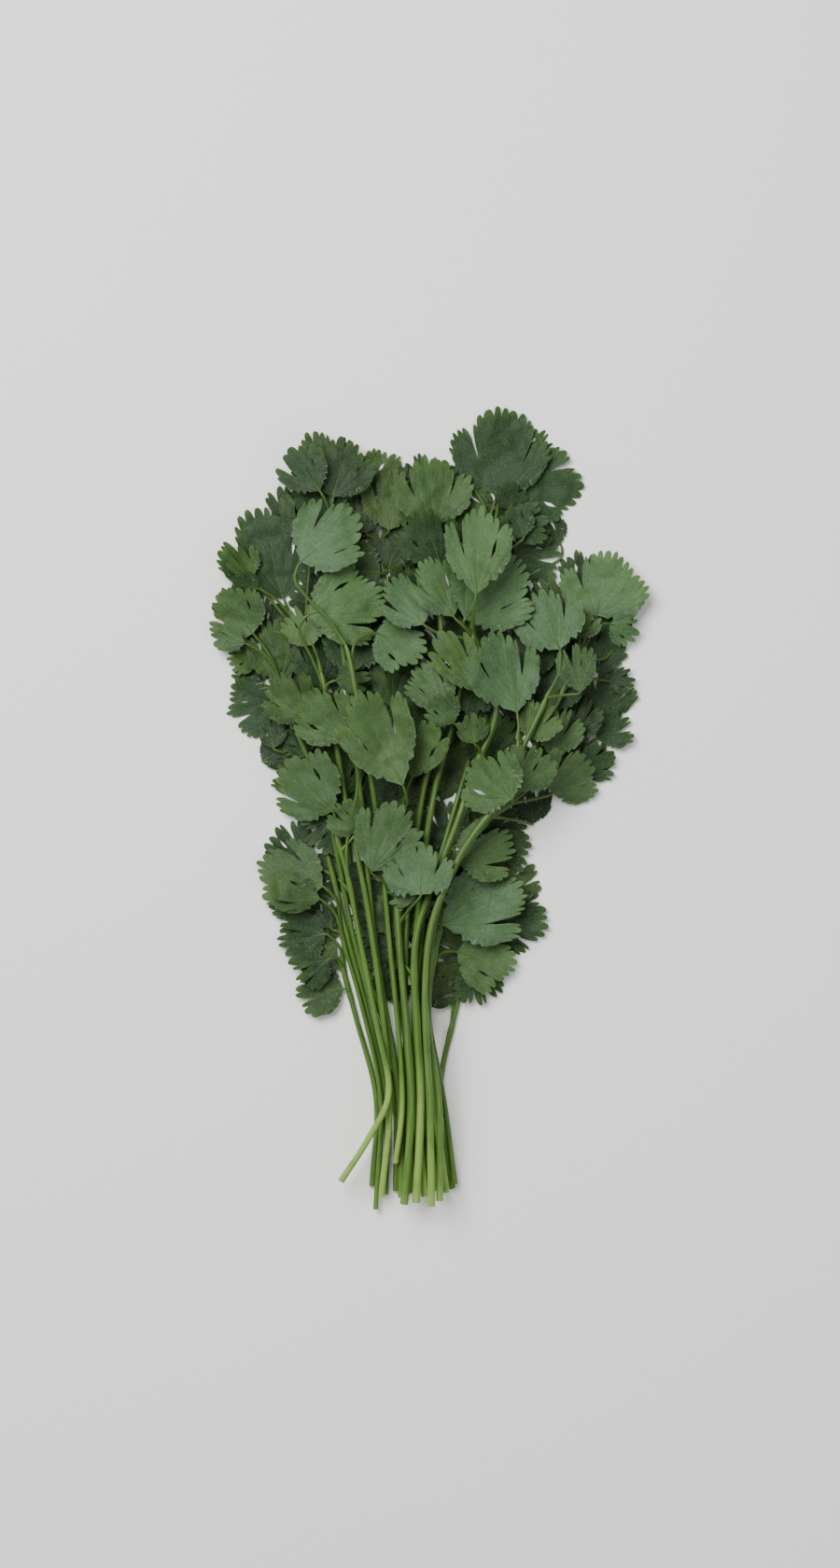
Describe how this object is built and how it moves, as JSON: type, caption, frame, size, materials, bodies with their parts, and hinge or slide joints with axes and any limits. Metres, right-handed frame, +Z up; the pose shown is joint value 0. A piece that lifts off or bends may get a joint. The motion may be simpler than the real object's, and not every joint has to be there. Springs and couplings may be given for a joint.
{
  "type": "coriander bunch",
  "caption": "Bunch of fresh cut coriander lying flat: slender stalks gathered at the cut ends, fanning out to overlapping fan-shaped leaflets with toothed edges.",
  "frame": {"origin": "middle of the box around the bunch, on the surface that it lies on", "axes": "+Y along the bunch from the cut ends of the stalks to the leaf tips, +X across it, +Z up from the surface"},
  "size_m": [0.1769, 0.3213, 0.0317],
  "materials": {
    "leaf_pale": "soft matte, pale green leaf seen from its paler side",
    "leaf_mid": "soft matte, mid green leaf",
    "leaf_dark": "soft matte, deep green leaf",
    "stalk": "smooth, juicy, slightly shiny light green stalk, paler at its cut end"
  },
  "bodies": {
    "root": {"stem_low_left": "leaf_dark", "stem_low_right": "leaf_dark", "stem_far_left": "leaf_dark", "stem_far_right": "leaf_dark", "stem_top_middle_dark": "leaf_dark", "stem_top_left_dark": "leaf_dark", "stem_top_right_dark": "leaf_dark", "stem_left_edge": "leaf_mid", "stem_top_left_fold": "leaf_dark", "stem_top_right": "leaf_dark", "stem_top_middle": "leaf_mid", "stem_low_left_pale": "leaf_mid", "stem_right": "leaf_pale", "stem_low_right_pale": "leaf_mid", "stem_right_middle": "leaf_mid", "stem_left_up": "leaf_pale", "stem_left_middle": "leaf_mid", "stem_right_up": "leaf_pale", "stem_pale_top": "leaf_pale", "stem_three_fold": "leaf_pale", "stem_centre_right": "leaf_pale", "stem_centre": "leaf_mid"}
  },
  "joints": []
}
